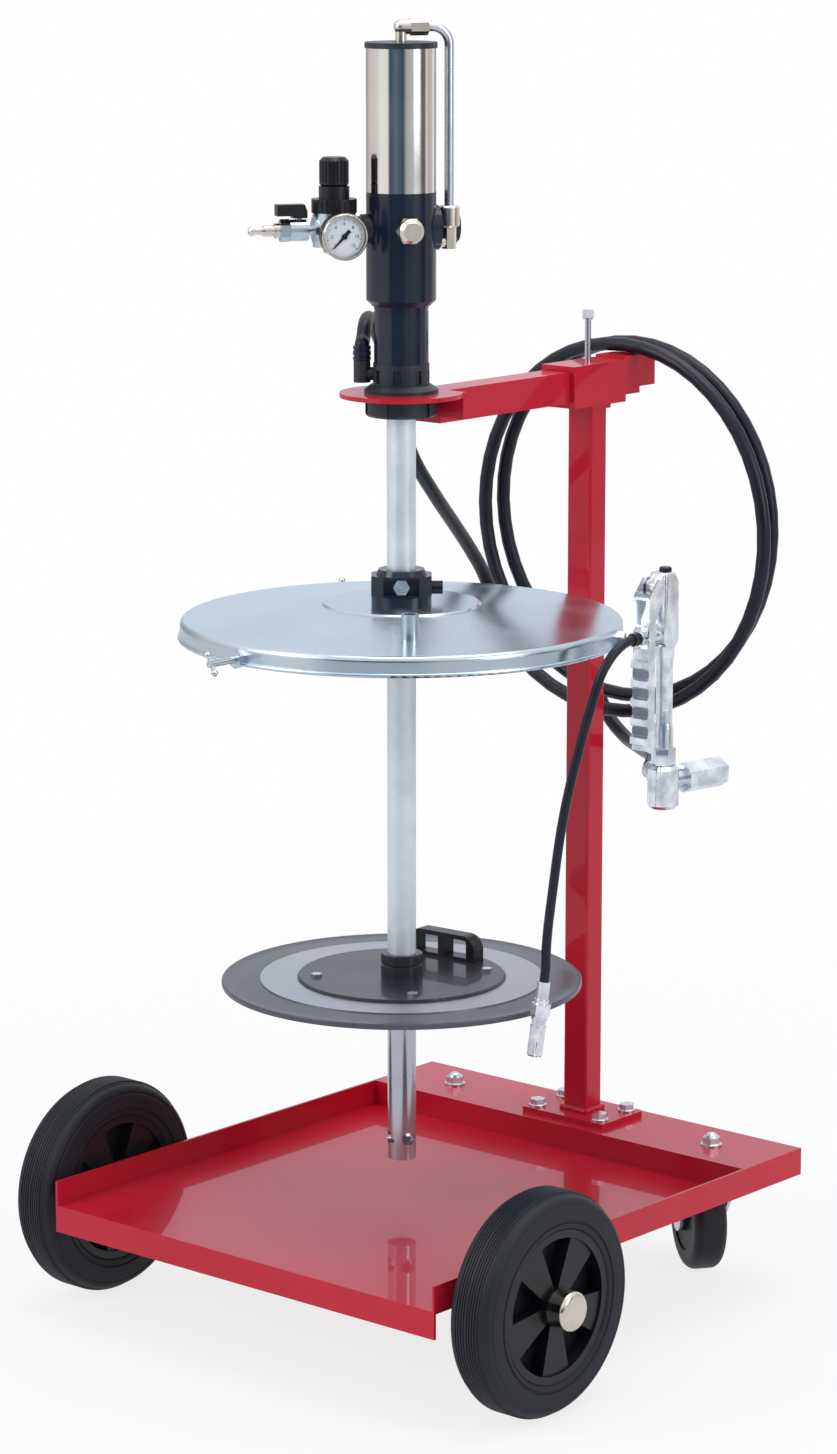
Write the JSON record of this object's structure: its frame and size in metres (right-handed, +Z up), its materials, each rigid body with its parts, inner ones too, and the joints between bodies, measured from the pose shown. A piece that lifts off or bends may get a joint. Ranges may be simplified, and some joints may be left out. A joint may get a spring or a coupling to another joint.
{
  "type": "pneumatic grease pump on a trolley",
  "caption": "Air-driven grease pump with suction tube, drum lid, follower plate, long coiled hose and hand gun, hung from the arm of a wheeled drum trolley.",
  "frame": {"origin": "on the floor, under the pump's axis in X, midway between the front lid screw and the rear end of the hose saddle", "axes": "+X to the right along the axle, +Y from the open front of the tray to the post, +Z up"},
  "size_m": [0.6066, 0.5848, 1.1832],
  "materials": {
    "red_paint": "gloss powder coat",
    "tyre_rubber": "matt rubber",
    "hub_black": "satin moulded plastic",
    "caster_rubber": "satin rubber",
    "zinc": "bright zinc plating",
    "chrome": "polished chrome",
    "galvanised": "pale zinc",
    "anodised": "satin black",
    "black_plastic": "semi-gloss",
    "nickel": "nickel-plated brass",
    "air_tube_metal": "dull nickel",
    "hose_rubber": "satin hose cover",
    "membrane_rubber": "matt blue-grey rubber",
    "ring_steel": "pale steel",
    "disc_grey": "satin dark grey",
    "dial_white": "printed white",
    "lens": "clear",
    "piston_steel": "ground steel"
  },
  "bodies": {
    "trolley": {"tray": "red_paint", "rear_shelf": "red_paint", "axle": "zinc", "axle_caps": "nickel", "trolley_bolts": "zinc", "post": "red_paint", "arm_sleeve": "red_paint", "arm": "red_paint", "pump_flange": "anodised", "lock_nut": "anodised", "neck": "anodised", "air_body": "anodised", "air_cylinder": "chrome", "cylinder_cap": "anodised", "top_elbow": "nickel", "air_tube": "air_tube_metal", "tube_union": "nickel", "port_plug": "nickel", "inlet_adapter": "black_plastic", "regulator_body": "galvanised", "regulator_bonnet": "black_plastic", "gauge_case": "black_plastic", "gauge_dial": "dial_white", "gauge_lens": "lens", "valve_body": "galvanised", "air_nipple": "nickel", "suction_tube": "zinc", "foot_tube": "chrome", "outlet_elbow": "black_plastic", "gun_body": "chrome", "gun_swivel": "chrome", "supply_hose": "hose_rubber", "hose_coil": "hose_rubber", "hose_tail": "hose_rubber", "whip_hose": "hose_rubber", "coupler": "zinc"},
    "wheel_left": {"tyre_left": "tyre_rubber", "hub_left": "hub_black"},
    "wheel_right": {"tyre_right": "tyre_rubber", "hub_right": "hub_black"},
    "caster_left": {"caster_fork_left": "zinc"},
    "caster_right": {"caster_fork_right": "zinc"},
    "caster_roller_left": {"caster_wheel_left": "caster_rubber"},
    "caster_roller_right": {"caster_wheel_right": "caster_rubber"},
    "piston": {"pump_piston": "piston_steel"},
    "knob": {"regulator_knob": "black_plastic"},
    "needle": {"gauge_needle": "black_plastic"},
    "lever": {"valve_lever": "black_plastic"},
    "lid": {"drum_lid": "galvanised", "lid_clamp": "anodised", "lid_clamp_bolt": "zinc"},
    "screw_front": {"lid_screw_front": "zinc"},
    "screw_right": {"lid_screw_right": "zinc"},
    "screw_left": {"lid_screw_left": "zinc"},
    "follower": {"follower_membrane": "membrane_rubber", "follower_ring": "ring_steel", "follower_disc": "disc_grey", "follower_bolts": "zinc", "follower_handle": "black_plastic"},
    "trigger": {"gun_trigger": "zinc"}
  },
  "joints": [
    {"name": "left_wheel_spin", "type": "hinge", "parent": "trolley", "child": "wheel_left", "pos_m": [-0.2625, -0.17738, 0.1], "axis": [1, 0, 0], "continuous": true},
    {"name": "right_wheel_spin", "type": "hinge", "parent": "trolley", "child": "wheel_right", "pos_m": [0.2625, -0.17738, 0.1], "axis": [1, 0, 0], "continuous": true},
    {"name": "left_caster_swivel", "type": "hinge", "parent": "trolley", "child": "caster_left", "pos_m": [-0.158, 0.20662, 0.1292], "axis": [0, 0, 1], "continuous": true},
    {"name": "right_caster_swivel", "type": "hinge", "parent": "trolley", "child": "caster_right", "pos_m": [0.158, 0.20662, 0.1292], "axis": [0, 0, 1], "continuous": true},
    {"name": "left_caster_spin", "type": "hinge", "parent": "caster_left", "child": "caster_roller_left", "pos_m": [-0.18263, 0.23814, 0.05], "axis": [-0.788, -0.6157, 0], "continuous": true},
    {"name": "right_caster_spin", "type": "hinge", "parent": "caster_right", "child": "caster_roller_right", "pos_m": [0.12606, 0.23069, 0.05], "axis": [-0.6018, -0.7986, 0], "continuous": true},
    {"name": "lid_slide", "type": "slide", "parent": "trolley", "child": "lid", "axis": [0, 0, 1], "range_m": [-0.08, 0.055]},
    {"name": "front_screw_turn", "type": "hinge", "parent": "lid", "child": "screw_front", "pos_m": [-0.01385, -0.2534, 0.641], "axis": [-0.0698, -0.9976, 0], "continuous": true},
    {"name": "right_screw_turn", "type": "hinge", "parent": "lid", "child": "screw_right", "pos_m": [0.17841, 0.03163, 0.641], "axis": [0.8988, 0.4384, 0], "continuous": true},
    {"name": "left_screw_turn", "type": "hinge", "parent": "lid", "child": "screw_left", "pos_m": [-0.16456, 0.05562, 0.641], "axis": [-0.829, 0.5592, 0], "continuous": true},
    {"name": "follower_slide", "type": "slide", "parent": "trolley", "child": "follower", "axis": [0, 0, 1], "range_m": [-0.12, 0.18]},
    {"name": "pump_stroke", "type": "slide", "parent": "trolley", "child": "piston", "axis": [0, 0, 1], "range_m": [0, 0.09]},
    {"name": "regulator_turn", "type": "hinge", "parent": "trolley", "child": "knob", "pos_m": [-0.0347, -0.10494, 1.0388], "axis": [0, 0, 1], "range_deg": [-180, 180]},
    {"name": "gauge_sweep", "type": "hinge", "parent": "trolley", "child": "needle", "pos_m": [-0.00251, -0.12748, 0.9975], "axis": [-0.8192, 0.5736, 0], "range_deg": [0, 270]},
    {"name": "valve_turn", "type": "hinge", "parent": "trolley", "child": "lever", "pos_m": [-0.05306, -0.13115, 1.0113], "axis": [0, 0, 1], "range_deg": [0, 90]},
    {"name": "trigger_squeeze", "type": "hinge", "parent": "trolley", "child": "trigger", "pos_m": [0.228, 0.01862, 0.699], "axis": [1, 0, 0], "range_deg": [0, 4], "stiffness_Nm_per_rad": 0.6, "springref_deg": -8.59}
  ]
}
